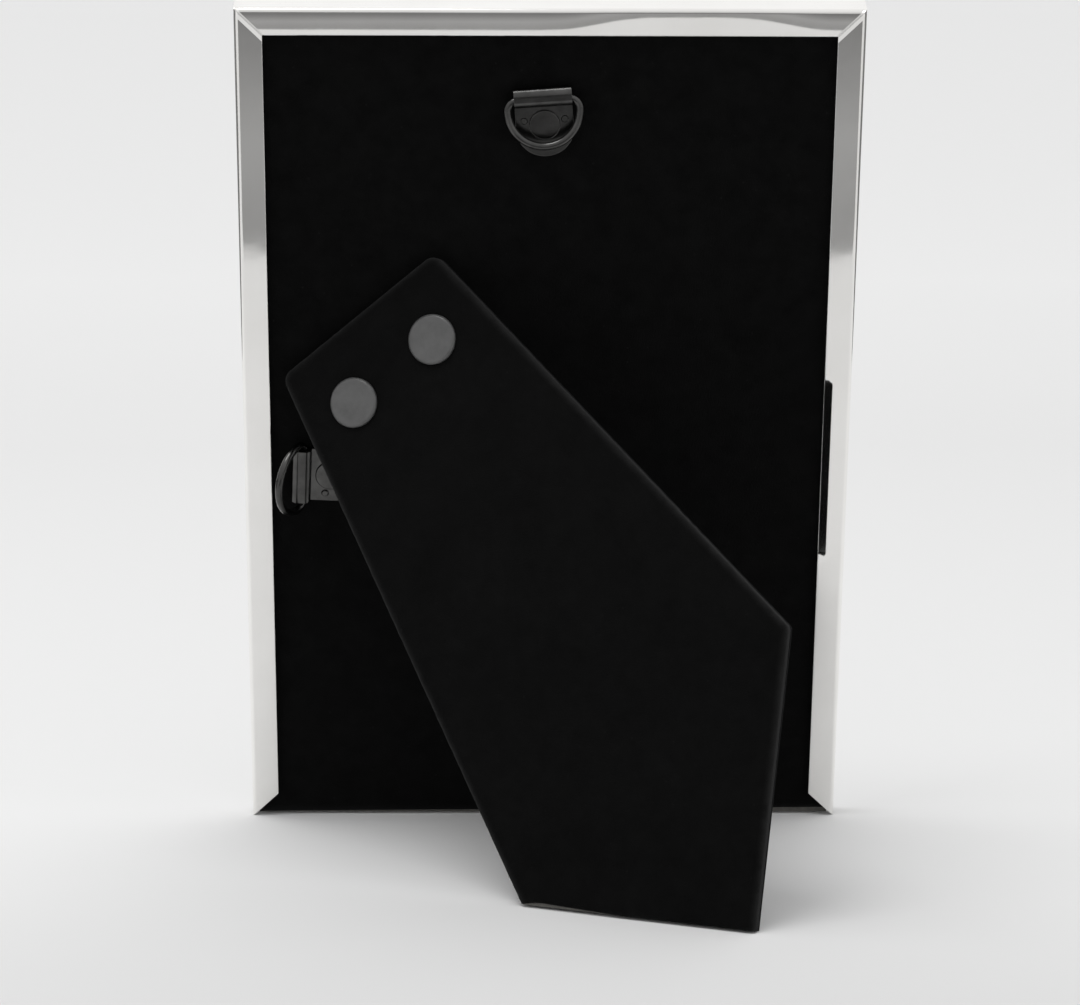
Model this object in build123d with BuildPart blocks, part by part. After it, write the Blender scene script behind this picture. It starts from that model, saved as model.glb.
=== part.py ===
"""Easel back photo frame for a 10 x 15 cm print, standing in portrait.

Left and right are as seen from behind: the frame's own plane has x to that right, y up along
the frame and z out of its back. The origin is the middle of the lower rear edge, on the table.
"""
import os
from math import atan2, cos, degrees, hypot, radians, sin, tan

from build123d import *

# Frame and stance, angles in degrees
frame_width = 110.0
frame_height = 160.0
lean = 14.7
landscape_lean = 14.2
overrun = 5.0

# Rail section: rear lip, outer wall and domed front
lip_width = 4.9
lip_thickness = 0.8
wall_thickness = 0.9
edge_round = 0.8
front_width = 7.5
front_thickness = 0.8
front_crown = 1.3
front_edge = 0.5

# Crimp pressed into the right lip to grip the sliding back
crimp_height_share = 0.452
crimp_length = 37.1
crimp_width = 1.5
crimp_drop = 0.3
crimp_run_out = 1.8

# Sheets held in the frame, from the lips forwards
slide_gap = 0.4
velvet_thickness = 0.4
board_thickness = 1.6
lining_thickness = 0.15
print_gap = 0.1
print_thickness = 0.25
print_margin = 4.0
glass_thickness = 1.6
glass_clearance = 0.4
board_clearance = 0.3
board_foot = 0.1
velvet_trim_left = 0.4
velvet_trim_right = 1.2

# Strut, laid out from the middle of its hinge
hinge_side_share = 0.2818
hinge_height_share = 0.62
hinge_slant = 41.2
open_angle = 35.6
stop_clearance = 0.1
strut_top_width = 36.5
strut_flare = 9.1
strut_board_thickness = 1.8
strut_corner = 2.4
strut_side_corner = 1.6

# Strut hinge
pin_radius = 0.5
pin_clearance = 0.05
leaf_thickness = 0.5
leaf_width = 27.0
leaf_length = 13.0
leaf_corner = 2.0
leaf_gap = 0.4
knuckle_clearance = 0.15
knuckle_gap = 0.2
knuckle_length = 8.8

# Rivets
shank_radius = 1.2
shank_clearance = 0.05
clinch_radius = 2.4
clinch_thickness = 0.4
leaf_rivet_spacing = 10.0
leaf_rivet_drop = 8.0
leaf_rivet_radius = 2.4
leaf_rivet_head = 0.4
leaf_rivet_edge = 0.15
strut_rivet_spacing = 18.6
strut_rivet_drop = 9.1
strut_rivet_radius = 4.5
strut_rivet_head = 0.8
strut_rivet_edge = 0.35
strap_rivet_radius = 2.75
strap_rivet_head = 0.35
strap_rivet_edge = 0.15
strap_rivet_drop = 4.9

# Ring hangers, laid out from the straight bar of the ring
wire_radius = 0.7
wire_sides = 10
ring_width = 14.2
ring_bend = 1.9
ring_clearance = 0.2
strap_thickness = 0.5
strap_side_gap = 0.6
strap_length = 10.8
fold_room = 0.8
dimple_radius = 0.7
dimple_height = 0.3
dimple_taper = 35.0
dimple_spacing = 7.2
dimple_drop = 4.0
top_hanger_x = -1.2
top_hanger_inset = 16.4
top_hanger_turn = 4.1
side_hanger_inset = 10.75
side_hanger_height_share = 0.445
side_hanger_turn = 87.5
side_ring_angle = 120.0

# Depths below the rear face of the lips
velvet_rear = lip_thickness + slide_gap
board_rear = velvet_rear + velvet_thickness
board_front = board_rear + board_thickness
lining_front = board_front + lining_thickness
print_rear = lining_front + print_gap
print_front = print_rear + print_thickness
glass_front = print_front + glass_thickness

# Plane of the frame's back
rearward = Vector(0, cos(radians(lean)), -sin(radians(lean)))
back = Plane(origin=rearward * edge_round, x_dir=(-1, 0, 0), z_dir=rearward)


def on_back(x, y, z):
    """Point given in the frame's own plane."""
    return back.from_local_coords(Vector(x, y, z))


def turned(plane, angle):
    """The same plane turned about its x axis, which lifts its lower half off the back."""
    turn = radians(angle)
    normal = plane.z_dir * cos(turn) + plane.y_dir * sin(turn)
    return Plane(origin=plane.origin, x_dir=plane.x_dir, z_dir=normal)


def end_plane(plane, along):
    """Plane across a plane's x axis: its x is the first one's y, its y the first one's z."""
    start = plane.from_local_coords(Vector(along, 0, 0))
    return Plane(origin=start, x_dir=plane.y_dir, z_dir=plane.x_dir)


def discs(plane, spots, radius):
    """Round outlines at spots on a plane."""
    with BuildSketch(plane) as outline:
        with Locations(*spots):
            Circle(radius)
    return outline.sketch


# Rails, each drawn along its length from one corner and cut to its mitres
half_width = frame_width / 2
front_outer = (0, -glass_front - front_edge)
front_middle = (front_width / 2, -glass_front - front_crown)
front_inner = (front_width, -glass_front - front_thickness)


def rail_plane(x, y, inward):
    """Section plane of a rail: x inward from its outer edge, y out of the frame's back."""
    return Plane(origin=on_back(x, y, 0), x_dir=inward, z_dir=inward.cross(back.z_dir))


def lipped_section(plane):
    """Section of a rail whose rear lip holds the back in."""
    with BuildSketch(plane) as section:
        with BuildLine():
            Polyline((lip_width, 0), (0, 0), front_outer)
            ThreePointArc(front_outer, front_middle, front_inner)
            Polyline(
                front_inner,
                (front_width, -glass_front),
                (wall_thickness, -glass_front),
                (wall_thickness, -lip_thickness),
                (lip_width, -lip_thickness),
                (lip_width, 0),
            )
        make_face()
        rear_corner = section.vertices().group_by(Axis.X)[0].sort_by(Axis.Y)[-1]
        fillet(rear_corner, edge_round)
    return section.sketch


def low_section(plane):
    """Section of the lower rail, over whose wall the back slides out."""
    with BuildSketch(plane) as section:
        with BuildLine():
            Polyline((0, -print_rear), front_outer)
            ThreePointArc(front_outer, front_middle, front_inner)
            Polyline(
                front_inner,
                (front_width, -glass_front),
                (wall_thickness, -glass_front),
                (wall_thickness, -print_rear),
                (0, -print_rear),
            )
        make_face()
    return section.sketch


def mitred(section, plane, length):
    """One rail between its two mitres."""
    plan = Plane(origin=plane.origin, x_dir=plane.x_dir, z_dir=back.z_dir)
    with BuildSketch(plan) as outline:
        with BuildLine():
            Polyline(
                (0, 0),
                (front_width, -front_width),
                (front_width, front_width - length),
                (0, -length),
                close=True,
            )
        make_face()
    with BuildPart() as body:
        extrude(section(plane), amount=length)
        extrude(outline.sketch, amount=-glass_front - overrun, mode=Mode.INTERSECT)
    return body.part


def crimp_section(plane, along, drop):
    """Section of the crimped strip of a lip, its free edge pressed in by a drop."""
    root = lip_width - crimp_width
    with BuildSketch(plane.offset(along)) as strip:
        with BuildLine():
            Polyline(
                (root, 0),
                (lip_width, -drop),
                (lip_width, -drop - lip_thickness),
                (root, -lip_thickness),
                close=True,
            )
        make_face()
    return strip.sketch


left_plane = rail_plane(-half_width, frame_height, back.x_dir)
right_plane = rail_plane(half_width, 0, -back.x_dir)
top_plane = rail_plane(half_width, frame_height, -back.y_dir)
bottom_plane = rail_plane(-half_width, 0, back.y_dir)

with BuildPart() as frame_left:
    add(mitred(lipped_section, left_plane, frame_height))

with BuildPart() as frame_top:
    add(mitred(lipped_section, top_plane, frame_width))

with BuildPart() as frame_bottom:
    add(mitred(low_section, bottom_plane, frame_width))

with BuildPart() as frame_right:
    add(mitred(lipped_section, right_plane, frame_height))
    crimp_bottom = crimp_height_share * frame_height - crimp_length / 2
    crimp_top = crimp_bottom + crimp_length
    crimp_start = crimp_section(right_plane, crimp_bottom, 0)
    crimp_lower = crimp_section(right_plane, crimp_bottom + crimp_run_out, crimp_drop)
    crimp_upper = crimp_section(right_plane, crimp_top - crimp_run_out, crimp_drop)
    crimp_end = crimp_section(right_plane, crimp_top, 0)
    extrude(crimp_start, amount=crimp_length, mode=Mode.SUBTRACT)
    loft([crimp_start, crimp_lower, crimp_upper, crimp_end], ruled=True)

# Glass and print, standing on the lower rail
pocket_width = frame_width - 2 * wall_thickness
pocket_top = frame_height - wall_thickness


def sheet_outline(width, low, high, depth):
    """Upright rectangle in the middle of the frame, at a depth below the lips."""
    with BuildSketch(back.offset(-depth)) as outline:
        with Locations((0, (low + high) / 2)):
            Rectangle(width, high - low)
    return outline.sketch


with BuildPart() as glass_pane:
    glass_width = pocket_width - 2 * glass_clearance
    glass_top = pocket_top - glass_clearance
    extrude(sheet_outline(glass_width, wall_thickness, glass_top, print_front), amount=-glass_thickness)

with BuildPart() as photo_print:
    print_width = frame_width - 2 * print_margin
    print_top = wall_thickness + frame_height - 2 * print_margin
    extrude(sheet_outline(print_width, wall_thickness, print_top, print_rear), amount=-print_thickness)

# Hinge line on the back, and the strut swung open about it until its top edge meets the velvet
knuckle_radius = pin_radius + pin_clearance + leaf_thickness
pin_height = knuckle_radius + knuckle_clearance
slant = radians(hinge_slant)
hinge_line = back.x_dir * cos(slant) + back.y_dir * sin(slant)
hinge_x = -hinge_side_share * frame_width
hinge_middle = on_back(hinge_x, hinge_height_share * frame_height, pin_height - velvet_rear)
shut_hinge = Plane(origin=hinge_middle, x_dir=hinge_line, z_dir=back.z_dir)
open_hinge = turned(shut_hinge, open_angle)
strut_inner = open_hinge.offset(pin_height)
swing = radians(open_angle)
strut_rise = (pin_height * (1 + cos(swing)) - stop_clearance) / sin(swing)

# Planes of the hangers, each with its ring's bar along x and its tab below
loop_bore = wire_radius + ring_clearance
loop_radius = loop_bore + strap_thickness
tab_thickness = 2 * strap_thickness
ring_drop = ring_width / 2 + ring_bend
strap_width = ring_width - 4 * wire_radius - 2 * strap_side_gap


def hanger_plane(x, y, turn):
    """Plane of a hanger, turned on the back."""
    across = back.x_dir * cos(radians(turn)) + back.y_dir * sin(radians(turn))
    return Plane(origin=on_back(x, y, loop_radius - velvet_rear), x_dir=across, z_dir=back.z_dir)


side_hanger_x = side_hanger_inset - half_width
side_hanger_height = side_hanger_height_share * frame_height
top_hanger = hanger_plane(top_hanger_x, frame_height - top_hanger_inset, top_hanger_turn)
side_hanger = hanger_plane(side_hanger_x, side_hanger_height, side_hanger_turn)

# Rivets: a bevelled head, a shank and a clinched end
leaf_rivet_spots = [(side * leaf_rivet_spacing / 2, -leaf_rivet_drop) for side in (-1, 1)]
strut_rivet_spots = [(side * strut_rivet_spacing / 2, -strut_rivet_drop) for side in (-1, 1)]
strap_rivet_spots = [(0, -strap_rivet_drop)]
shank_hole = shank_radius + shank_clearance
clinch_hole = clinch_radius + shank_clearance
clinch_seat = velvet_thickness + board_thickness - clinch_thickness


def buttons(plane, spots, radius, height, edge):
    """Discs standing on a plane, bevelled at their upper rims."""
    with BuildPart() as group:
        extrude(discs(plane, spots, radius), amount=height)
        tops = group.faces().sort_by(Axis(plane.origin, plane.z_dir))[-len(spots) :]
        chamfer(tops.edges(), edge)
    return group.part


def rivet_group(plane, spots, radius, head, edge, grip):
    """Rivets with their heads on a plane, clinched at the far side of the grip."""
    with BuildPart() as group:
        add(buttons(plane, spots, radius, head, edge))
        extrude(discs(plane, spots, shank_radius), amount=-grip)
        extrude(discs(plane.offset(-grip), spots, clinch_radius), amount=-clinch_thickness)
    return group.part


# Sliding back: board, velvet and lining, the first two punched for the rivets
board_width = pocket_width - 2 * board_clearance
board_top = pocket_top - board_clearance
punch_depth = board_front + overrun
riveted = [
    (shut_hinge, pin_height, leaf_rivet_spots),
    (top_hanger, loop_radius, strap_rivet_spots),
    (side_hanger, loop_radius, strap_rivet_spots),
]

with BuildPart() as back_board:
    extrude(sheet_outline(board_width, board_foot, board_top, board_rear), amount=-board_thickness)
    for plane, height, spots in riveted:
        extrude(discs(plane, spots, shank_hole), amount=-punch_depth, mode=Mode.SUBTRACT)
        seat = plane.offset(-height - clinch_seat)
        extrude(discs(seat, spots, clinch_hole), amount=-clinch_thickness, mode=Mode.SUBTRACT)

with BuildPart() as back_velvet:
    half_board = board_width / 2
    with BuildSketch(back.offset(-velvet_rear)):
        with BuildLine():
            Polyline(
                (-half_board, board_foot + velvet_trim_left),
                (half_board, board_foot + velvet_trim_right),
                (half_board, board_top),
                (-half_board, board_top),
                close=True,
            )
        make_face()
    extrude(amount=-velvet_thickness)
    for plane, height, spots in riveted:
        extrude(discs(plane, spots, shank_hole), amount=-punch_depth, mode=Mode.SUBTRACT)

with BuildPart() as back_lining:
    extrude(sheet_outline(board_width, board_foot, board_top, board_front), amount=-lining_thickness)

# Strut: a die-cut board, its outer velvet wrapped round every edge but the foot
half_top = strut_top_width / 2
flare = tan(radians(strut_flare))


def floor_line(spot, normal):
    """Line a + b x + c y = 0 where a floor cuts the strut's inner face, positive on the strut."""
    height = (strut_inner.origin - spot).dot(normal)
    return height, strut_inner.x_dir.dot(normal), strut_inner.y_dir.dot(normal)


def flare_line(side):
    """Line of a long edge of the strut, in the same form."""
    return half_top + flare * strut_rise, -side, -flare


def inset_line(line, inset):
    """Such a line moved into the strut."""
    a, b, c = line
    return a - inset * hypot(b, c), b, c


def crossing(first, second):
    """Point where two such lines cross."""
    a, b, c = first
    d, e, f = second
    scale = b * f - c * e
    return (c * d - a * f) / scale, (a * e - b * d) / scale


landscape = radians(landscape_lean)
side_up = -back.x_dir * cos(landscape) - back.z_dir * sin(landscape)
foot_edge = floor_line(Vector(0, 0, 0), Vector(0, 0, 1))
side_foot_edge = floor_line(on_back(half_width, 0, -edge_round), side_up)
top_edge = (strut_rise, 0, -1)


def strut_outline(plane, inset):
    """Die-cut outline on a plane, every edge but the foot moved in by an inset."""
    top, left, right, side = [
        inset_line(line, inset) for line in (top_edge, flare_line(-1), flare_line(1), side_foot_edge)
    ]
    side_corner = crossing(side, right)
    with BuildSketch(plane) as outline:
        with BuildLine():
            Polyline(
                crossing(top, left),
                crossing(foot_edge, left),
                crossing(foot_edge, side),
                side_corner,
                crossing(right, top),
                close=True,
            )
        make_face()
        fillet(outline.vertices().sort_by(Axis.Y)[-2:], strut_corner - inset)
        fillet(outline.vertices().sort_by_distance(side_corner)[0], strut_side_corner - inset)
    return outline.sketch


def strut_layer(height, thickness, inset):
    """Layer of the strut, at a height over its inner face, punched for the rivets."""
    plane = strut_inner.offset(height)
    with BuildPart() as layer:
        extrude(strut_outline(plane, inset), amount=thickness)
        extrude(discs(plane, strut_rivet_spots, shank_hole), amount=thickness, mode=Mode.SUBTRACT)
    return layer.part


strut_thickness = velvet_thickness + strut_board_thickness + velvet_thickness

with BuildPart() as strut_velvet_inner:
    add(strut_layer(0, velvet_thickness, 0))

with BuildPart() as strut_board:
    add(strut_layer(velvet_thickness, strut_board_thickness, velvet_thickness))

with BuildPart() as strut_velvet_outer:
    board_face = strut_inner.offset(velvet_thickness)
    add(strut_layer(velvet_thickness, strut_board_thickness + velvet_thickness, 0))
    extrude(strut_outline(board_face, velvet_thickness), amount=strut_board_thickness, mode=Mode.SUBTRACT)

with BuildPart() as strut_rivets:
    strut_outer = strut_inner.offset(strut_thickness)
    strut_grip = strut_thickness + leaf_thickness
    add(
        rivet_group(
            strut_outer, strut_rivet_spots, strut_rivet_radius, strut_rivet_head, strut_rivet_edge, strut_grip
        )
    )

# Hinge: a leaf on the strut with one knuckle, a leaf on the back with two, and their pin
leaf_top = knuckle_radius + leaf_gap
outer_knuckle = knuckle_length / 2 + knuckle_gap
hinge_end = outer_knuckle + knuckle_length


def leaf_plate(plane):
    """Plate of a leaf, clear of the knuckles along its upper edge."""
    with BuildSketch(plane) as plate:
        with Locations((0, -(leaf_top + leaf_length) / 2)):
            Rectangle(leaf_width, leaf_length - leaf_top)
        fillet(plate.vertices().group_by(Axis.Y)[0], leaf_corner)
    return plate.sketch


def knuckle(plane, along, side):
    """Rolled knuckle and its tongue, seen along the pin, on the leaf's side of it."""
    with BuildSketch(end_plane(plane, along)) as roll:
        Circle(knuckle_radius)
        with Locations((-leaf_top / 2, side * (pin_height - leaf_thickness / 2))):
            Rectangle(leaf_top, leaf_thickness)
        Circle(pin_radius + pin_clearance, mode=Mode.SUBTRACT)
    return roll.sketch


with BuildPart() as hinge_strut_leaf:
    extrude(leaf_plate(strut_inner), amount=-leaf_thickness)
    extrude(knuckle(open_hinge, -knuckle_length / 2, 1), amount=knuckle_length)
    extrude(discs(strut_inner, strut_rivet_spots, shank_hole), amount=-leaf_thickness, mode=Mode.SUBTRACT)

with BuildPart() as hinge_board_leaf:
    velvet_face = shut_hinge.offset(-pin_height)
    extrude(leaf_plate(velvet_face), amount=leaf_thickness)
    for along in (-hinge_end, outer_knuckle):
        extrude(knuckle(shut_hinge, along, -1), amount=knuckle_length)
    extrude(discs(velvet_face, leaf_rivet_spots, shank_hole), amount=leaf_thickness, mode=Mode.SUBTRACT)

with BuildPart() as hinge_pin:
    extrude(discs(end_plane(shut_hinge, -hinge_end), [(0, 0)], pin_radius), amount=2 * hinge_end)

with BuildPart() as hinge_board_rivets:
    leaf_face = shut_hinge.offset(leaf_thickness - pin_height)
    leaf_grip = leaf_thickness + clinch_seat
    add(
        rivet_group(
            leaf_face, leaf_rivet_spots, leaf_rivet_radius, leaf_rivet_head, leaf_rivet_edge, leaf_grip
        )
    )


# Hangers: a strap folded loosely round the ring's bar and riveted through both layers
def fold_section(plane):
    """Section of the strap seen along the bar, which hangs at the lower end of the fold."""
    with BuildSketch(end_plane(plane, -strap_width / 2)) as fold:
        with Locations((fold_room / 2, 0)):
            SlotCenterToCenter(fold_room, 2 * loop_radius)
        with Locations((-strap_length / 2, tab_thickness / 2 - loop_radius)):
            Rectangle(strap_length, tab_thickness)
        with Locations((fold_room / 2, 0)):
            SlotCenterToCenter(fold_room, 2 * loop_bore, mode=Mode.SUBTRACT)
    return fold.sketch


def strap(plane):
    """Folded strap, its tab rounded at the end, with a dimple each side of the rivet."""
    tab_face = plane.offset(tab_thickness - loop_radius)
    fold_top = fold_room + loop_radius
    round_drop = strap_width / 2 - strap_length
    with BuildSketch(plane.offset(-loop_radius)) as plan:
        with Locations((0, round_drop)):
            Circle(strap_width / 2)
        with Locations((0, (round_drop + fold_top) / 2)):
            Rectangle(strap_width, fold_top - round_drop)
    dimple_spots = [(side * dimple_spacing / 2, -dimple_drop) for side in (-1, 1)]
    with BuildPart() as body:
        extrude(fold_section(plane), amount=strap_width)
        extrude(plan.sketch, amount=2 * loop_radius, mode=Mode.INTERSECT)
        extrude(discs(tab_face, strap_rivet_spots, shank_hole), amount=-tab_thickness, mode=Mode.SUBTRACT)
        extrude(discs(tab_face, dimple_spots, dimple_radius), amount=dimple_height, taper=dimple_taper)
    return body.part


def strap_rivet(plane):
    """Rivet of a strap, clinched flush with the front of the board."""
    tab_face = plane.offset(tab_thickness - loop_radius)
    grip = tab_thickness + clinch_seat
    return rivet_group(
        tab_face, strap_rivet_spots, strap_rivet_radius, strap_rivet_head, strap_rivet_edge, grip
    )


def wire_section(plane):
    """Section of the ring's wire, drawn with flats so that the bends stay light."""
    with BuildSketch(plane) as section:
        RegularPolygon(wire_radius, wire_sides)
    return section.sketch


def wire_ring(plane):
    """Ring of round wire below a plane's x axis: straight bar, two bends and a round bow."""
    half_ring = ring_width / 2 - wire_radius
    bar_end = half_ring - ring_bend
    with BuildPart() as body:
        extrude(wire_section(end_plane(plane, -bar_end)), amount=2 * bar_end)
        for side in (-1, 1):
            bend_middle = plane.from_local_coords(Vector(side * bar_end, -ring_bend, 0))
            bend = wire_section(end_plane(plane, side * bar_end))
            revolve(bend, axis=Axis(bend_middle, plane.z_dir * -side), revolution_arc=90)
        bow_start = plane.from_local_coords(Vector(half_ring, -ring_bend, 0))
        bow = wire_section(Plane(origin=bow_start, x_dir=plane.x_dir, z_dir=-plane.y_dir))
        bow_middle = plane.from_local_coords(Vector(0, -ring_bend, 0))
        revolve(bow, axis=Axis(bow_middle, -plane.z_dir), revolution_arc=180)
    return body.part


hang = -Vector(0, 0, 1)
top_ring_angle = degrees(atan2(hang.dot(top_hanger.z_dir), -hang.dot(top_hanger.y_dir)))

with BuildPart() as hanger_top_strap:
    add(strap(top_hanger))

with BuildPart() as hanger_top_rivet:
    add(strap_rivet(top_hanger))

with BuildPart() as hanger_top_ring:
    add(wire_ring(turned(top_hanger, top_ring_angle)))

with BuildPart() as hanger_side_strap:
    add(strap(side_hanger))

with BuildPart() as hanger_side_rivet:
    add(strap_rivet(side_hanger))

with BuildPart() as hanger_side_ring:
    add(wire_ring(turned(side_hanger, side_ring_angle)))

pieces = {
    "frame_left": frame_left,
    "frame_right": frame_right,
    "frame_top": frame_top,
    "frame_bottom": frame_bottom,
    "glass_pane": glass_pane,
    "photo_print": photo_print,
    "back_board": back_board,
    "back_velvet": back_velvet,
    "back_lining": back_lining,
    "strut_board": strut_board,
    "strut_velvet_inner": strut_velvet_inner,
    "strut_velvet_outer": strut_velvet_outer,
    "strut_rivets": strut_rivets,
    "hinge_strut_leaf": hinge_strut_leaf,
    "hinge_board_leaf": hinge_board_leaf,
    "hinge_pin": hinge_pin,
    "hinge_board_rivets": hinge_board_rivets,
    "hanger_top_strap": hanger_top_strap,
    "hanger_top_rivet": hanger_top_rivet,
    "hanger_top_ring": hanger_top_ring,
    "hanger_side_strap": hanger_side_strap,
    "hanger_side_rivet": hanger_side_rivet,
    "hanger_side_ring": hanger_side_ring,
}

os.makedirs("parts", exist_ok=True)
for name, piece in pieces.items():
    piece.part.label = name
    export_step(piece.part, f"parts/{name}.step")
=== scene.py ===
"""Looks of the easel back photo frame: camera, studio, materials, velvet and wire, in metres."""
import math
import random

import bmesh
import bpy
from mathutils import Matrix, Vector, noise


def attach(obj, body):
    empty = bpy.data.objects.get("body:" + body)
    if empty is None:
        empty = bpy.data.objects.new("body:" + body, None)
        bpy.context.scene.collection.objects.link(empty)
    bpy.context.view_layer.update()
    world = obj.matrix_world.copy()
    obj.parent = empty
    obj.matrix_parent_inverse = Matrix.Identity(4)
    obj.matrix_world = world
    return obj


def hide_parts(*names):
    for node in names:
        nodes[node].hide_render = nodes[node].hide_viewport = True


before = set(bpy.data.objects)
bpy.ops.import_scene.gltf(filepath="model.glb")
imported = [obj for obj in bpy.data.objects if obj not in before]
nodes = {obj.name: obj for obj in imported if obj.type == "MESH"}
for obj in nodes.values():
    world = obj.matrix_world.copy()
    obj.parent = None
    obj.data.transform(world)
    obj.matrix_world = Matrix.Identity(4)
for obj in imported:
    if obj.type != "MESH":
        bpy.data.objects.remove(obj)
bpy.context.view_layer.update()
scene = bpy.context.scene
scene.view_settings.view_transform = "Standard"

MM = 0.001

# The frame's own plane, as in the part's source: right, up and rearward seen from behind
LEAN = math.radians(14.7)
FRAME_HEIGHT = 160.0
HALF_WIDTH = 55.0
EDGE_ROUND = 0.8
RIGHT = Vector((-1, 0, 0))
UP = Vector((0, math.sin(LEAN), math.cos(LEAN)))
REAR = Vector((0, math.cos(LEAN), -math.sin(LEAN)))
BACK = Matrix((RIGHT, UP, REAR)).transposed().to_4x4()
BACK.translation = REAR * EDGE_ROUND * MM


def shifted(x, y, z):
    """Move by millimetres."""
    return Matrix.Translation(Vector((x, y, z)) * MM)


def quarter_turn(steps):
    """Angles from 0 to a right angle, in even steps."""
    return [math.radians(90 * step / steps) for step in range(steps + 1)]


# The strut's plane, turned open about the slanted hinge, and the face of its outer velvet
SLANT = math.radians(41.2)
OPEN = math.radians(35.6)
HINGE_X = -30.998
HINGE_Y = 99.2
PIN_HEIGHT = 1.2
STRUT_THICK = 2.6
hinge_line = BACK @ shifted(HINGE_X, HINGE_Y, 0) @ Matrix.Rotation(SLANT, 4, "Z")
hinge = hinge_line @ Matrix.Rotation(-OPEN, 4, "X")
outer_face = hinge @ shifted(0, 0, PIN_HEIGHT + STRUT_THICK)

# Camera, solved from the frame's corners and the strut's foot, in the frame's own plane
SENSOR = 36
LENS = 138.18
CLIP_START = 0.01
CAMERA_PLACE = Vector((-13.15, 386.67, 686.73)) * MM
CAMERA_FORWARD = Vector((0.01584, -0.42346, -0.90578))
CAMERA_UP = Vector((-0.00083, 0.90588, -0.42352))
camera_data = bpy.data.cameras.new("camera")
camera_data.sensor_width = SENSOR
camera_data.lens = LENS
camera_data.clip_start = CLIP_START
camera = bpy.data.objects.new("camera", camera_data)
scene.collection.objects.link(camera)
forward = BACK.to_3x3() @ CAMERA_FORWARD
upward = BACK.to_3x3() @ CAMERA_UP
across = forward.cross(upward).normalized()
upward = across.cross(forward).normalized()
camera.matrix_world = Matrix((across, upward, -forward.normalized())).transposed().to_4x4()
camera.matrix_world.translation = BACK @ CAMERA_PLACE
scene.camera = camera


def fill_ramp(ramp, stops):
    """Set the stops of a colour ramp, each (place, colour)."""
    elements = ramp.color_ramp.elements
    while len(elements) < len(stops):
        elements.new(0.5)
    for element, (at, colour) in zip(elements, stops):
        element.position = at
        element.color = (*colour, 1)


class Shader:
    """A node material with a principled shader, built up by short calls."""

    def __init__(self, name):
        self.material = bpy.data.materials.new(name)
        self.material.use_nodes = True
        self.tree = self.material.node_tree
        self.shader = self.tree.nodes["Principled BSDF"]
        self.output = self.tree.nodes["Material Output"]
        self.place = self.add("ShaderNodeTexCoord").outputs["Object"]

    def add(self, kind, **values):
        node = self.tree.nodes.new(kind)
        for key, value in values.items():
            setattr(node, key, value)
        return node

    def link(self, source, target):
        self.tree.links.new(source, target)

    def colour(self, source):
        self.link(source, self.shader.inputs["Base Color"])

    def gloss(self, source):
        self.link(source, self.shader.inputs["Roughness"])

    def set(self, **values):
        for key, value in values.items():
            self.shader.inputs[key.replace("_", " ")].default_value = value

    def math(self, operation, *terms):
        node = self.add("ShaderNodeMath", operation=operation)
        for socket, term in zip(node.inputs, terms):
            if isinstance(term, (int, float)):
                socket.default_value = term
            else:
                self.link(term, socket)
        return node.outputs["Value"]

    def along(self, direction):
        """Distance of a place along a direction."""
        node = self.add("ShaderNodeVectorMath", operation="DOT_PRODUCT")
        node.inputs[1].default_value = direction
        self.link(self.place, node.inputs[0])
        return node.outputs["Value"]

    def noise(self, scale, detail=4, roughness=0.5, stretch=(1, 1, 1)):
        mapping = self.add("ShaderNodeMapping")
        mapping.inputs["Scale"].default_value = stretch
        self.link(self.place, mapping.inputs["Vector"])
        texture = self.add("ShaderNodeTexNoise")
        texture.inputs["Scale"].default_value = scale
        texture.inputs["Detail"].default_value = detail
        texture.inputs["Roughness"].default_value = roughness
        self.link(mapping.outputs["Vector"], texture.inputs["Vector"])
        return texture.outputs["Fac"]

    def specks(self, scale, radius):
        """1 in small spots, one to a cell, 0 between them."""
        texture = self.add("ShaderNodeTexVoronoi")
        texture.inputs["Scale"].default_value = scale
        self.link(self.place, texture.inputs["Vector"])
        return self.math("LESS_THAN", texture.outputs["Distance"], radius)

    def ramp(self, source, stops):
        ramp = self.add("ShaderNodeValToRGB")
        fill_ramp(ramp, stops)
        self.link(source, ramp.inputs["Fac"])
        return ramp.outputs["Color"]

    def range(self, source, low, high):
        mapped = self.add("ShaderNodeMapRange")
        mapped.inputs["To Min"].default_value = low
        mapped.inputs["To Max"].default_value = high
        self.link(source, mapped.inputs["Value"])
        return mapped.outputs["Result"]

    def mottle(self, dark, light, scale, detail=5, roughness=0.6, spread=0.4):
        """Colour that wanders between a dark and a light one."""
        stops = [((1 - spread) / 2, dark), ((1 + spread) / 2, light)]
        return self.ramp(self.noise(scale, detail, roughness), stops)

    def uneven_gloss(self, low, high, scale, detail=3, roughness=0.6):
        """Roughness that wanders between two values."""
        self.gloss(self.range(self.noise(scale, detail, roughness), low, high))

    def mixed(self, share, first, second):
        """Colour that goes from the first to the second as the share goes from 0 to 1."""
        mix = self.add("ShaderNodeMix", data_type="RGBA")
        self.link(share, mix.inputs["Factor"])
        for socket, value in ((mix.inputs[6], first), (mix.inputs[7], second)):
            if isinstance(value, tuple):
                socket.default_value = (*value, 1)
            else:
                self.link(value, socket)
        return mix.outputs[2]

    def relief(self, edge, *heights):
        """Normal with rounded edges and one or more heights, each (source, strength, distance)."""
        bevel = self.add("ShaderNodeBevel", samples=6)
        bevel.inputs["Radius"].default_value = edge
        normal = bevel.outputs["Normal"]
        for source, strength, distance in heights:
            node = self.add("ShaderNodeBump")
            node.inputs["Strength"].default_value = strength
            node.inputs["Distance"].default_value = distance
            self.link(source, node.inputs["Height"])
            self.link(normal, node.inputs["Normal"])
            normal = node.outputs["Normal"]
        self.link(normal, self.shader.inputs["Normal"])


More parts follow.
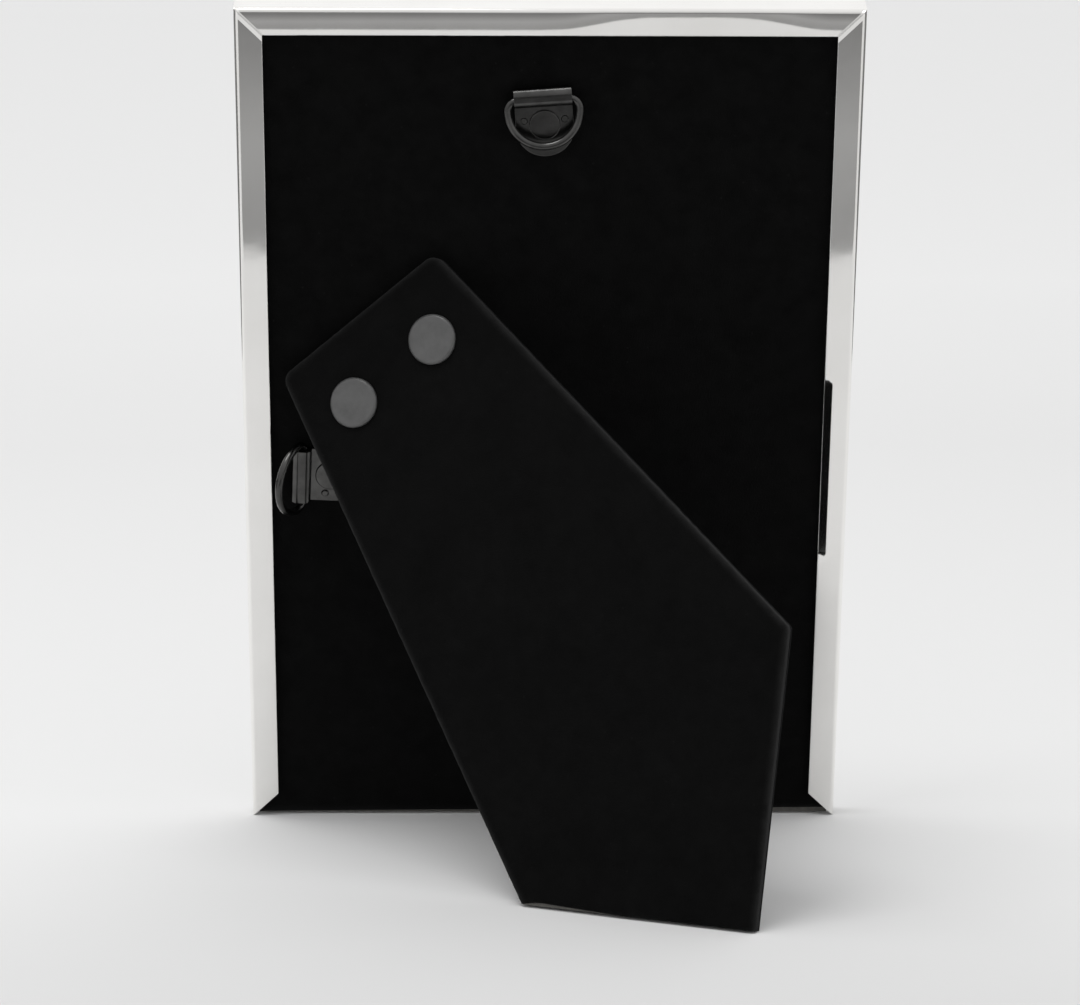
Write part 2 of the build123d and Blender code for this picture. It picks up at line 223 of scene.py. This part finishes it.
def grey(value, warm=0.0):
    """Linear colour of a grey, a little warm."""
    return (value * (1 + warm), value, value * (1 - 2 * warm))


# How far each material rounds off edges
RIM_EDGE = 0.00022
NICKEL_EDGE = 0.00016
RIVET_EDGE = 0.0005
BOARD_EDGE = 0.0001
PAPER_EDGE = 0.00004
PILE_EDGE = 0.0001

# Relief of the surfaces, each (strength, distance)
TRUE_HEIGHT = (1.0, 1.0)
RIM_WAVER = (0.3, 0.0002)
RIM_POLISH = (0.03, 0.00004)
NICKEL_GRAIN = (0.14, 0.00004)
RIVET_GRAIN = (0.2, 0.00005)
BOARD_FIBRE = (0.5, 0.0001)
PAPER_FIBRE = (0.25, 0.00004)
PILE_NAP = (0.9, 0.00018)

# Polished rails: their lips are slightly crowned, and the top lip leans inwards and is bowed at one place
LIP = 0.0049
SIDE_CROWN = 0.00004
TOP_CROWN = 0.00014
TOP_TILT = 0.06
BOW_PLACE = 0.025
BOW_REACH = 0.0175
BOW_TILT = 0.115
BOW_POWER = 4.0
SEAM_RISE = 0.00016
SEAM_SLOPE = 0.0012
SEAM_DROP = 0.0004

rim = Shader("rim_metal")
rim.set(Metallic=1.0)
rim.colour(rim.mottle(grey(0.88, warm=0.012), grey(0.94, warm=0.010), scale=60))
rim.uneven_gloss(0.05, 0.10, scale=240)
sideways = rim.along(RIGHT)
from_side = rim.math("SUBTRACT", HALF_WIDTH * MM, rim.math("ABSOLUTE", sideways))
from_top = rim.math("SUBTRACT", FRAME_HEIGHT * MM, rim.along(UP))
on_top = rim.math("LESS_THAN", from_top, from_side)
from_edge = rim.math("MINIMUM", from_side, from_top)
on_lip = rim.math("MINIMUM", rim.math("MAXIMUM", from_edge, 0.0), LIP)
off_middle = rim.math("DIVIDE", rim.math("SUBTRACT", on_lip, LIP / 2), LIP / 2)
sag = rim.math("MULTIPLY_ADD", on_top, TOP_CROWN - SIDE_CROWN, SIDE_CROWN)
crown = rim.math("MULTIPLY", rim.math("MULTIPLY", off_middle, off_middle), sag)
from_bow = rim.math("DIVIDE", rim.math("SUBTRACT", sideways, BOW_PLACE), BOW_REACH)
past_bow = rim.math("POWER", rim.math("ABSOLUTE", from_bow), BOW_POWER)
bow_fall = rim.math("EXPONENT", rim.math("MULTIPLY", past_bow, -1.0))
lean = rim.math("MULTIPLY_ADD", bow_fall, BOW_TILT, TOP_TILT)
fall = rim.math("MULTIPLY_ADD", rim.math("MULTIPLY", lean, on_lip), on_top, crown)

# Next to each mitre the side lip stands up a little
past_seam = rim.math("SUBTRACT", from_top, from_side)
seam_rise = rim.math("SUBTRACT", 1.0, rim.math("DIVIDE", past_seam, SEAM_SLOPE))
seam_drop = rim.math("ADD", 1.0, rim.math("DIVIDE", past_seam, SEAM_DROP))
seam = rim.math("MAXIMUM", rim.math("MINIMUM", seam_rise, seam_drop), 0.0)
lip_height = rim.math("SUBTRACT", rim.math("MULTIPLY", seam, SEAM_RISE), fall)
waver = rim.noise(scale=45, detail=3, roughness=0.5)
polish = rim.noise(scale=900, detail=3, roughness=0.6, stretch=(1, 1, 0.1))
rim.relief(RIM_EDGE, (lip_height, *TRUE_HEIGHT), (waver, *RIM_WAVER), (polish, *RIM_POLISH))

nickel = Shader("dark_nickel")
nickel.set(Metallic=1.0)
nickel.colour(nickel.mottle(grey(0.06, warm=0.01), grey(0.10, warm=0.01), scale=420))
nickel.uneven_gloss(0.16, 0.26, scale=700)
nickel.relief(NICKEL_EDGE, (nickel.noise(scale=1500, detail=3, roughness=0.6), *NICKEL_GRAIN))

rivet = Shader("grey_rivet")
rivet.set(Metallic=0.35)
rivet.colour(rivet.mottle(grey(0.085), grey(0.12), scale=300, roughness=0.65))
rivet.uneven_gloss(0.25, 0.38, scale=700, roughness=0.5)
rivet.relief(RIVET_EDGE, (rivet.noise(scale=1600, detail=3, roughness=0.6), *RIVET_GRAIN))

board = Shader("raw_board")
board_dark = grey(0.06, warm=0.03)
board_light = grey(0.14, warm=0.04)
board.colour(board.mottle(board_dark, board_light, scale=900, detail=6, roughness=0.7, spread=0.5))
board.set(Roughness=0.9)
board.relief(BOARD_EDGE, (board.noise(scale=2200, detail=4, roughness=0.7), *BOARD_FIBRE))


def paper(name, dark, light, roughness):
    """Paper with a faint fibre mottle."""
    made = Shader(name)
    made.colour(made.mottle(dark, light, scale=700, detail=6, roughness=0.7))
    made.set(Roughness=roughness)
    made.relief(PAPER_EDGE, (made.noise(scale=1800, detail=4, roughness=0.6), *PAPER_FIBRE))
    return made.material


print_paper = paper("print_paper", grey(0.80), grey(0.84), roughness=0.35)
lining_paper = paper("lining_paper", grey(0.60, warm=0.02), grey(0.70, warm=0.02), roughness=0.85)

# Glass lets lamps and soft light through to the print behind it
glass = Shader("clear_glass")
glass.set(Base_Color=(0.97, 0.985, 0.98, 1), Transmission_Weight=1.0, IOR=1.5)
glass.uneven_gloss(0.0, 0.015, scale=50, detail=2, roughness=0.5)
clear = glass.add("ShaderNodeBsdfTransparent")
path = glass.add("ShaderNodeLightPath")
mix = glass.add("ShaderNodeMixShader")
lit = glass.math("MAXIMUM", path.outputs["Is Shadow Ray"], path.outputs["Is Diffuse Ray"])
glass.link(lit, mix.inputs["Fac"])
glass.link(glass.shader.outputs["BSDF"], mix.inputs[1])
glass.link(clear.outputs["BSDF"], mix.inputs[2])
glass.link(mix.outputs["Shader"], glass.output.inputs["Surface"])

# Pile: tones of its nap and lint as shares of its base tone
NAP_DARK = 0.5
NAP_LIGHT = 1.5
LINT_LIGHT = 5


def velvet_material(name, base, sheen):
    """Black pile: almost no reflection face on, a soft grey sheen at the edges, and a little lint."""
    made = Shader(name)
    nap = made.mottle(grey(base * NAP_DARK), grey(base * NAP_LIGHT), scale=260, detail=6, roughness=0.7)
    lint = made.math("MULTIPLY", made.specks(scale=330, radius=0.06), made.noise(scale=90, detail=2))
    made.nap = made.mixed(lint, nap, grey(base * LINT_LIGHT))
    made.colour(made.nap)
    made.set(Roughness=0.95, Specular_IOR_Level=0.08, Sheen_Weight=sheen, Sheen_Roughness=0.4)
    made.set(Sheen_Tint=(0.62, 0.62, 0.64, 1))
    made.relief(PILE_EDGE, (made.noise(scale=2600, detail=5, roughness=0.75), *PILE_NAP))
    return made


back_pile = velvet_material("back_pile", base=0.0023, sheen=0.04)

# The strut's pile has painted light: it is lighter towards its top, as if lit from above, and has a
# painted sheen where it turns over the edges
STRUT_BASE = 0.0016
TOP_LIGHT_SHARE = 0.3
TOP_LIGHT_LIFT = 3
EDGE_SHEEN_LIFT = 9
EDGE_SHEEN_DROP = 0.00025
strut_pile = velvet_material("strut_pile", base=STRUT_BASE, sheen=0.07)
# Painted light: the pile is made lighter the higher it stands
height_share = strut_pile.math("DIVIDE", strut_pile.along((0, 0, 1)), FRAME_HEIGHT * MM)
painted_top_light = strut_pile.range(height_share, 0.0, TOP_LIGHT_SHARE)
top_lit_nap = strut_pile.mixed(painted_top_light, strut_pile.nap, grey(STRUT_BASE * TOP_LIGHT_LIFT))
# Painted sheen: the pile is made lighter, in uneven patches, where it drops over the wrapped edges
face_out = (outer_face.to_3x3() @ Vector((0, 0, 1))).normalized()
face_height = outer_face.translation.dot(face_out)
dropped = strut_pile.math("SUBTRACT", face_height, strut_pile.along(face_out))
drop_share = strut_pile.math("DIVIDE", dropped, EDGE_SHEEN_DROP)
edge_sheen_breakup = strut_pile.noise(scale=500, detail=4, roughness=0.6)
painted_edge_sheen = strut_pile.math("MULTIPLY", drop_share, edge_sheen_breakup)
painted_edge_sheen = strut_pile.math("MINIMUM", strut_pile.math("MAXIMUM", painted_edge_sheen, 0.0), 1.0)
strut_pile.colour(strut_pile.mixed(painted_edge_sheen, top_lit_nap, grey(STRUT_BASE * EDGE_SHEEN_LIFT)))

finishes = {
    rim.material: ["frame_left", "frame_right", "frame_top", "frame_bottom"],
    glass.material: ["glass_pane"],
    print_paper: ["photo_print"],
    lining_paper: ["back_lining"],
    board.material: ["back_board", "strut_board"],
    rivet.material: ["strut_rivets", "hinge_board_rivets"],
    nickel.material: [
        "hinge_strut_leaf",
        "hinge_board_leaf",
        "hinge_pin",
        "hanger_top_strap",
        "hanger_top_rivet",
        "hanger_side_strap",
        "hanger_side_rivet",
    ],
}
for material, names in finishes.items():
    for name in names:
        nodes[name].data.materials.clear()
        nodes[name].data.materials.append(material)


def smooth_object(name, shape, material):
    """Smooth object from a shape, which is used up."""
    mesh = bpy.data.meshes.new(name)
    shape.to_mesh(mesh)
    shape.free()
    for polygon in mesh.polygons:
        polygon.use_smooth = True
    mesh.materials.append(material)
    made = bpy.data.objects.new(name, mesh)
    scene.collection.objects.link(made)
    return made


def new_piece(name, shape, matrix, shader, body, replaced):
    """Smooth piece from a shape in millimetres, riding on a body in place of a node."""
    bmesh.ops.transform(shape, matrix=matrix @ Matrix.Scale(MM, 4), verts=shape.verts[:])
    bmesh.ops.recalc_face_normals(shape, faces=shape.faces[:])
    piece = smooth_object(name, shape, shader.material)
    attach(piece, body)
    if replaced:
        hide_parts(replaced)
    return piece


# Hanger rings: round wire with a straight bar, two bends and a round bow
WIRE = 0.7
HALF_RING = 6.4
RING_BEND = 1.9
WIRE_SIDES = 16
BEND_STEPS = 8
BOW_STEPS = 40
BAR_SHARES = (-0.9, -0.45, 0, 0.45, 0.9)
HANGER_LIFT = 0.2


def ring_line():
    """Points of the wire's middle line, each with the direction out of the ring."""
    bar_end = HALF_RING - RING_BEND
    turns = [
        ((bar_end, -RING_BEND), RING_BEND, 90, 0, BEND_STEPS),
        ((0, -RING_BEND), HALF_RING, 0, -180, BOW_STEPS),
        ((-bar_end, -RING_BEND), RING_BEND, 180, 90, BEND_STEPS),
    ]
    for (x, y), radius, start, end, steps in turns:
        for step in range(steps):
            angle = math.radians(start + (end - start) * (step + 0.5) / steps)
            out = Vector((math.cos(angle), math.sin(angle), 0))
            yield Vector((x, y, 0)) + out * radius, out
    for share in BAR_SHARES:
        yield Vector((bar_end * share, 0, 0)), Vector((0, 1, 0))


def wire_ring(name, body, place):
    """One ring in the place of its node."""
    shape = bmesh.new()
    loops = []
    for middle, out in ring_line():
        loop = []
        for side in range(WIRE_SIDES):
            angle = 2 * math.pi * side / WIRE_SIDES
            spoke = out * math.cos(angle) + Vector((0, 0, 1)) * math.sin(angle)
            loop.append(shape.verts.new(middle + spoke * WIRE))
        loops.append(loop)
    for loop, onward in zip(loops, loops[1:] + loops[:1]):
        for side in range(WIRE_SIDES):
            beside = (side + 1) % WIRE_SIDES
            shape.faces.new((loop[side], loop[beside], onward[beside], onward[side]))
    new_piece(f"{name}_wire", shape, place, nickel, body, name)


def hanger_place(x, y, turn, angle):
    """Plane of a ring: its hanger's place and turn on the back, and how far the ring is lifted."""
    on_back = BACK @ shifted(x, y, HANGER_LIFT) @ Matrix.Rotation(math.radians(turn), 4, "Z")
    return on_back @ Matrix.Rotation(-math.radians(angle), 4, "X")


top_place = hanger_place(x=-1.2, y=143.6, turn=4.1, angle=14.736)
side_place = hanger_place(x=-44.25, y=71.2, turn=87.5, angle=120.0)
wire_ring("hanger_top_ring", "ring_top", top_place)
wire_ring("hanger_side_ring", "ring_side", side_place)

# Velvet: a fine grid over the cut outline, with rows of faces turned down round its edges
VELVET = 0.4
CORNER_STEPS = 8
LEAST_ROUND = 0.05
RUFFLE_SHARE = 0.04
RUFFLE_PACE = 0.8
SWELL_PACE = 0.09
SWELL_LAYER = 3.1
SAME_GAP = 1e-6
END_SHARE = 0.001


def drawn_in(corners, insets):
    """Corners of the outline with each edge moved inwards by its own inset."""
    count = len(corners)
    lines = []
    for index, start in enumerate(corners):
        run = (corners[(index + 1) % count] - start).normalized()
        inward = Vector((-run.y, run.x))
        lines.append((start + inward * insets[index], run))
    moved = []
    for index in range(count):
        first, first_run = lines[index - 1]
        second, second_run = lines[index]
        reach = (second - first).cross(second_run) / first_run.cross(second_run)
        moved.append(first + first_run * reach)
    return moved


def rounded(corners, radii):
    """Anticlockwise outline with rounded corners: points, each with the number of its edge."""
    points = []
    count = len(corners)
    for index, corner in enumerate(corners):
        radius = radii[index]
        if radius <= 0:
            points.append((corner.copy(), index))
            continue
        before = (corners[index - 1] - corner).normalized()
        after = (corners[(index + 1) % count] - corner).normalized()
        half = before.angle(after) / 2
        centre = corner + (before + after).normalized() * radius / math.sin(half)
        start = corner + before * radius / math.tan(half) - centre
        turn = math.pi - 2 * half
        for step in range(CORNER_STEPS + 1):
            spin = Matrix.Rotation(turn * step / CORNER_STEPS, 2)
            points.append((centre + spin @ start, index))
    return points


def place_on(point, outline):
    """Segment of an outline that a point lies on, and the share of the way along it."""
    best = None
    for index, start in enumerate(outline):
        run = outline[(index + 1) % len(outline)] - start
        share = min(1.0, max(0.0, (point - start).dot(run) / run.length_squared))
        gap = (start + run * share - point).length
        if best is None or gap < best[0] - SAME_GAP:
            best = (gap, index, share)
    return best[1:]


def spot_on(outline, index, share):
    """Point at a share of the way along a segment of an outline."""
    return outline[index].lerp(outline[(index + 1) % len(outline)], share)


def is_wrapped(index, share, edges, wraps):
    """Whether a place on an outline lies on a wrapped edge or at an end of one."""
    near = {edges[index]}
    if share < END_SHARE:
        near.add(edges[index - 1])
    if share > 1 - END_SHARE:
        near.add(edges[(index + 1) % len(edges)])
    return any(wraps[edge] for edge in near)


def gridded(outline, pitch):
    """Flat shape of an outline, cut into squares of a pitch."""
    cover = bmesh.new()
    cover.faces.new([cover.verts.new((p.x, p.y, 0)) for p in outline])
    for axis in (0, 1):
        low = min(p[axis] for p in outline)
        high = max(p[axis] for p in outline)
        normal = Vector((1, 0, 0)) if axis == 0 else Vector((0, 1, 0))
        count = round((high - low) / pitch)
        for step in range(1, count):
            everything = cover.verts[:] + cover.edges[:] + cover.faces[:]
            cut = normal * (low + (high - low) * step / count)
            bmesh.ops.bisect_plane(cover, geom=everything, plane_co=cut, plane_no=normal)
    return cover


def row_outlines(corners, radii, wraps, rows):
    """Rounded outline of each row, with the wrapped edges moved in by the row's inset."""
    outlines = []
    for inset, _ in rows:
        insets = [inset * wrap for wrap in wraps]
        turns = [max(LEAST_ROUND, radius - inset) if radius else 0 for radius in radii]
        outlines.append(rounded(drawn_in(corners, insets), turns))
    return outlines


def velvet_shape(corners, radii, wraps, rows, pitch, wave):
    """Sheet whose wrapped edges follow rows of (inset, drop), and whose cut edges are one sheet thick."""
    outlines = row_outlines(corners, radii, wraps, rows)
    edges = [edge for point, edge in outlines[0]]
    loops = [[point for point, edge in outline] for outline in outlines]
    cover = gridded(loops[0], pitch)
    for vert in cover.verts:
        swell = noise.noise(Vector((vert.co.x * SWELL_PACE, vert.co.y * SWELL_PACE, SWELL_LAYER)))
        vert.co.z = -wave * (1 + swell) / 2
    rim_edges = [edge for edge in cover.edges if edge.is_boundary]
    places = {}
    for edge in rim_edges:
        for vert in edge.verts:
            places[vert] = place_on(Vector((vert.co.x, vert.co.y)), loops[0])
    for loop, (_, drop) in zip(loops[1:], rows[1:]):
        turned = bmesh.ops.extrude_edge_only(cover, edges=rim_edges)["geom"]
        new_edges = [item for item in turned if isinstance(item, bmesh.types.BMEdge)]
        rim_edges = [edge for edge in new_edges if edge.is_boundary]
        found = {}
        for vert in [item for item in turned if isinstance(item, bmesh.types.BMVert)]:
            beside = [edge.other_vert(vert) for edge in vert.link_edges]
            index, share = next(places[other] for other in beside if other in places)
            found[vert] = (index, share)
            spot = spot_on(loop, index, share)
            depth = min(drop, VELVET)
            if is_wrapped(index, share, edges, wraps):
                ruffle = noise.noise(Vector((spot.x, spot.y, 0)) * RUFFLE_PACE)
                spot = spot.lerp(spot_on(loops[0], index, share), RUFFLE_SHARE * (1 + ruffle))
                depth = drop
            vert.co = Vector((spot.x, spot.y, -depth))
        places = found
    return cover


# Cut edges, as rows of (inset, drop)
CUT_EDGE = 0.08
CUT_ROWS = [(0, 0), (0, CUT_EDGE), (0, VELVET)]

# Velvet of the sliding back, trimmed a little short along its lower edge
BOARD_HALF = 53.8
BOARD_TOP = 158.8
BACK_FOOT_LEFT = 0.5
BACK_FOOT_RIGHT = 1.3
BACK_DEPTH = 1.2
BACK_PITCH = 2.0
BACK_WAVE = 0.05
back_cut = [
    Vector((-BOARD_HALF, BACK_FOOT_LEFT)),
    Vector((BOARD_HALF, BACK_FOOT_RIGHT)),
    Vector((BOARD_HALF, BOARD_TOP)),
    Vector((-BOARD_HALF, BOARD_TOP)),
]
back_none = [0] * len(back_cut)
back_shape = velvet_shape(back_cut, back_none, back_none, CUT_ROWS, BACK_PITCH, BACK_WAVE)
back_face = BACK @ shifted(0, 0, -BACK_DEPTH)
back_sheet = new_piece(
    "back_velvet_pile", back_shape, back_face, back_pile, "easel_back", "back_velvet"
)

# Strut: its outer velvet is wrapped round the board's edges, all but the foot
WRAP = STRUT_THICK - VELVET
WRAP_ROUND = 0.75
WRAP_INSET = 1.8
WRAP_STEPS = 6
OUTER_PITCH = 1.2
OUTER_WAVE = 0.05
INNER_PITCH = 2.0
INNER_WAVE = 0.04
FOOT = 1
strut_corners = [
    Vector((-18.25, 3.566)),
    Vector((-34.813, -99.841)),
    Vector((-1.979, -128.130)),
    Vector((33.145, -89.430)),
    Vector((18.25, 3.566)),
]
strut_radii = [2.4, 0, 0, 1.6, 2.4]
strut_wraps = [1, 0, 1, 1, 1]

wrap_rows = []
for bend in quarter_turn(WRAP_STEPS):
    wrap_rows.append((WRAP_INSET * (1 - math.sin(bend)), WRAP_ROUND * (1 - math.cos(bend))))
wrap_rows.append((0, (WRAP_ROUND + WRAP) / 2))
wrap_rows.append((0, WRAP))

# At the foot the outer velvet is trimmed short on the left, where the raw board shows
TRIM = 0.8
TRIM_START_SHARE = 0.08
TRIM_END_SHARE = 0.43
TRIM_REACH = 4.0


def trim_foot(shape):
    """Draw the foot's edge in where it is trimmed, and the grid near it with it."""
    start = strut_corners[FOOT]
    run = strut_corners[FOOT + 1] - start
    length = run.length
    run.normalize()
    inward = Vector((-run.y, run.x))
    for vert in shape.verts:
        spot = Vector((vert.co.x, vert.co.y)) - start
        share = spot.dot(run) / length
        depth = max(0.0, spot.dot(inward))
        if 0 < share < TRIM_END_SHARE and depth < TRIM_REACH:
            lens = min(1.0, share / TRIM_START_SHARE) * (1 - share / TRIM_END_SHARE)
            shift = inward * TRIM * lens * (1 - depth / TRIM_REACH)
            vert.co.x += shift.x
            vert.co.y += shift.y


outer_shape = velvet_shape(strut_corners, strut_radii, strut_wraps, wrap_rows, OUTER_PITCH, OUTER_WAVE)
trim_foot(outer_shape)
outer_sheet = new_piece(
    "strut_velvet_outer_pile",
    outer_shape,
    outer_face,
    strut_pile,
    "strut",
    "strut_velvet_outer",
)

flip = Matrix.Scale(-1, 4, (1, 0, 0)) @ Matrix.Scale(-1, 4, (0, 0, 1))
mirrored = [Vector((-p.x, p.y)) for p in reversed(strut_corners)]
inner_none = [0] * len(mirrored)
inner_shape = velvet_shape(mirrored, strut_radii[::-1], inner_none, CUT_ROWS, INNER_PITCH, INNER_WAVE)
inner_face = hinge @ shifted(0, 0, PIN_HEIGHT) @ flip
inner_sheet = new_piece(
    "strut_velvet_inner_pile",
    inner_shape,
    inner_face,
    back_pile,
    "strut",
    "strut_velvet_inner",
)

# Loose fibres stand out of the wrapped edges
FIBRES = 1100
FIBRE_SEED = 11
FIBRE_WIDTH = 0.022
FIBRE_SUNK_SHARE = 0.96
FIBRE_LEAN = 1.2
FIBRE_BEND_LOW = 20
FIBRE_BEND_HIGH = 90
FIBRE_SHORT = 0.12
FIBRE_LONG = 0.42
draw = random.Random(FIBRE_SEED)


def wrapped_runs():
    """Stretches of the strut's outline along its wrapped edges."""
    outline = rounded(strut_corners, strut_radii)
    runs = []
    for index, (start, edge) in enumerate(outline):
        end, _ = outline[(index + 1) % len(outline)]
        if strut_wraps[edge]:
            runs.append((start, end))
    return runs


def add_fibre(shape, start, end):
    """Short tapered fibre somewhere along a stretch of the wrapped edge."""
    run = (end - start).normalized().to_3d()
    out = Vector((run.y, -run.x, 0))
    bend = math.radians(draw.uniform(FIBRE_BEND_LOW, FIBRE_BEND_HIGH))
    spot = start.lerp(end, draw.random()).to_3d()
    middle = spot - out * WRAP_INSET - Vector((0, 0, WRAP_ROUND))
    reach = out * WRAP_INSET * math.sin(bend) + Vector((0, 0, WRAP_ROUND * math.cos(bend)))
    root = middle + reach * FIBRE_SUNK_SHARE
    lift = out * math.sin(bend) + Vector((0, 0, math.cos(bend)))
    slope = run * draw.uniform(-FIBRE_LEAN, FIBRE_LEAN)
    tip = root + (lift + slope).normalized() * draw.uniform(FIBRE_SHORT, FIBRE_LONG)
    spokes = (run, -run, lift.cross(run))
    base = [shape.verts.new(root + spoke * FIBRE_WIDTH) for spoke in spokes]
    top = shape.verts.new(tip)
    shape.faces.new(base)
    for index, corner in enumerate(base):
        shape.faces.new((corner, base[(index + 1) % len(base)], top))


def fibre_shape():
    """Fibres strewn evenly along the wrapped edges of the strut."""
    shape = bmesh.new()
    runs = wrapped_runs()
    lengths = [(end - start).length for start, end in runs]
    for start, end in draw.choices(runs, weights=lengths, k=FIBRES):
        add_fibre(shape, start, end)
    return shape


fibres = new_piece(
    "strut_velvet_fibres", fibre_shape(), outer_face, strut_pile, "strut", None
)


# Studio: a pale floor that runs up into a backdrop, a soft sky and one small lamp
def stage_piece(name, pairs, material, reflected_only=False):
    """Strip of faces through pairs of points."""
    shape = bmesh.new()
    rows = [[shape.verts.new(point) for point in pair] for pair in pairs]
    for low, high in zip(rows, rows[1:]):
        shape.faces.new((low[0], low[1], high[1], high[0]))
    piece = smooth_object(name, shape, material)
    if reflected_only:
        piece.visible_camera = False
        piece.visible_diffuse = False
        piece.visible_shadow = False
        piece.visible_transmission = False


FLOOR_HALF = 2.5
FLOOR_FRONT = 1.2
FLOOR_NEAR = 0.15
SWEEP_START = -0.8
SWEEP_RADIUS = 0.9
SWEEP_STEPS = 64
PAINT_WANDER = 0.03
# Painted shade: the floor is darker in front of the frame, towards the camera, and lighter towards the
# backdrop
FLOOR_PAINT_AND_SHADE_TONES = [(0.0, grey(0.70)), (0.1, grey(0.80)), (0.6, grey(0.80)), (1.0, grey(0.89))]
floor_rows = [(FLOOR_FRONT, 0.0)]
for bend in quarter_turn(SWEEP_STEPS):
    floor_rows.append((SWEEP_START - SWEEP_RADIUS * math.sin(bend), SWEEP_RADIUS * (1 - math.cos(bend))))
paint_and_shade = Shader("floor_paint_and_shade")
back_from_near = paint_and_shade.math("SUBTRACT", FLOOR_NEAR, paint_and_shade.along((0, 1, 0)))
floor_tone_share = paint_and_shade.math("DIVIDE", back_from_near, FLOOR_NEAR - SWEEP_START)
paint_mottle = paint_and_shade.range(paint_and_shade.noise(scale=6, detail=3), -PAINT_WANDER, PAINT_WANDER)
paint_and_shade.colour(paint_and_shade.ramp(paint_and_shade.math("ADD", floor_tone_share, paint_mottle), FLOOR_PAINT_AND_SHADE_TONES))
paint_and_shade.set(Roughness=0.7, Specular_IOR_Level=0.0)
floor_pairs = [((-FLOOR_HALF, y, z), (FLOOR_HALF, y, z)) for y, z in floor_rows]
stage_piece("floor", floor_pairs, paint_and_shade.material)


# Cards outside the camera's view, seen only as reflections in the polished rails
def card_material(name, tones, direction, reach):
    """Even glow in greys along a direction."""
    made = Shader(name)
    glow = made.add("ShaderNodeEmission")
    share = made.math("DIVIDE", made.along(direction), reach)
    made.link(made.ramp(share, tones), glow.inputs["Color"])
    made.link(glow.outputs["Emission"], made.output.inputs["Surface"])
    return made.material


CARD_START = 0.1785
CARD_END = 0.9
CARD_HALF = 0.13
CARD_LIFT = 0.0015
CARD_TONES = [(0.20, grey(0.28)), (0.25, grey(0.345)), (0.31, grey(0.19)), (0.5, grey(0.19))]
card_glow = card_material("card_glow", CARD_TONES, (0, 1, 0), CARD_END)
card_pairs = [((-CARD_HALF, y, CARD_LIFT), (CARD_HALF, y, CARD_LIFT)) for y in (CARD_START, CARD_END)]
stage_piece("card", card_pairs, card_glow, reflected_only=True)

FLAG_SIDE = 0.33
FLAG_BACK = -0.5
FLAG_FRONT = 0.1
FLAG_HEIGHT = 0.1
FLAG_TONES = [(0.0, grey(0.16)), (1.0, grey(0.20))]
flag_glow = card_material("flag_glow", FLAG_TONES, (0, 0, 1), FLAG_HEIGHT)
for name, side in (("flag_left", FLAG_SIDE), ("flag_right", -FLAG_SIDE)):
    flag_pairs = [((side, FLAG_BACK, z), (side, FLAG_FRONT, z)) for z in (CARD_LIFT, FLAG_HEIGHT)]
    stage_piece(name, flag_pairs, flag_glow, reflected_only=True)

# Soft square lamp
KEY_PLACE = Vector((0.3, 0.3, 1.1))
KEY_TARGET = Vector((0.0, 0.03, 0.05))
KEY_SIZE = 0.45
KEY_POWER = 3.2
key_data = bpy.data.lights.new("key", "AREA")
key_data.shape = "RECTANGLE"
key_data.size = KEY_SIZE
key_data.size_y = KEY_SIZE
key_data.energy = KEY_POWER
key = bpy.data.objects.new("key", key_data)
key.location = KEY_PLACE
key.rotation_euler = (KEY_TARGET - KEY_PLACE).to_track_quat("-Z", "Y").to_euler()
scene.collection.objects.link(key)

# Sky: dim at the horizon, brighter behind the backdrop than behind the camera
SKY_STRENGTH = 0.92
SKY_SLOPE = -0.12
SKY_TONES = [(0.0, grey(0.75)), (0.3, grey(0.88)), (0.62, grey(1.0))]
world = bpy.data.worlds.new("studio")
scene.world = world
world.use_nodes = True
sky = world.node_tree
sky_place = sky.nodes.new("ShaderNodeTexCoord")
sky_split = sky.nodes.new("ShaderNodeSeparateXYZ")
sky_ramp = sky.nodes.new("ShaderNodeValToRGB")
fill_ramp(sky_ramp, SKY_TONES)
sky_side = sky.nodes.new("ShaderNodeMath")
sky_side.operation = "MULTIPLY_ADD"
sky_side.inputs[1].default_value = SKY_SLOPE * SKY_STRENGTH
sky_side.inputs[2].default_value = SKY_STRENGTH
sky.links.new(sky_place.outputs["Generated"], sky_split.inputs["Vector"])
sky.links.new(sky_split.outputs["Z"], sky_ramp.inputs["Fac"])
sky.links.new(sky_split.outputs["Y"], sky_side.inputs[0])
sky.links.new(sky_ramp.outputs["Color"], sky.nodes["Background"].inputs["Color"])
sky.links.new(sky_side.outputs["Value"], sky.nodes["Background"].inputs["Strength"])
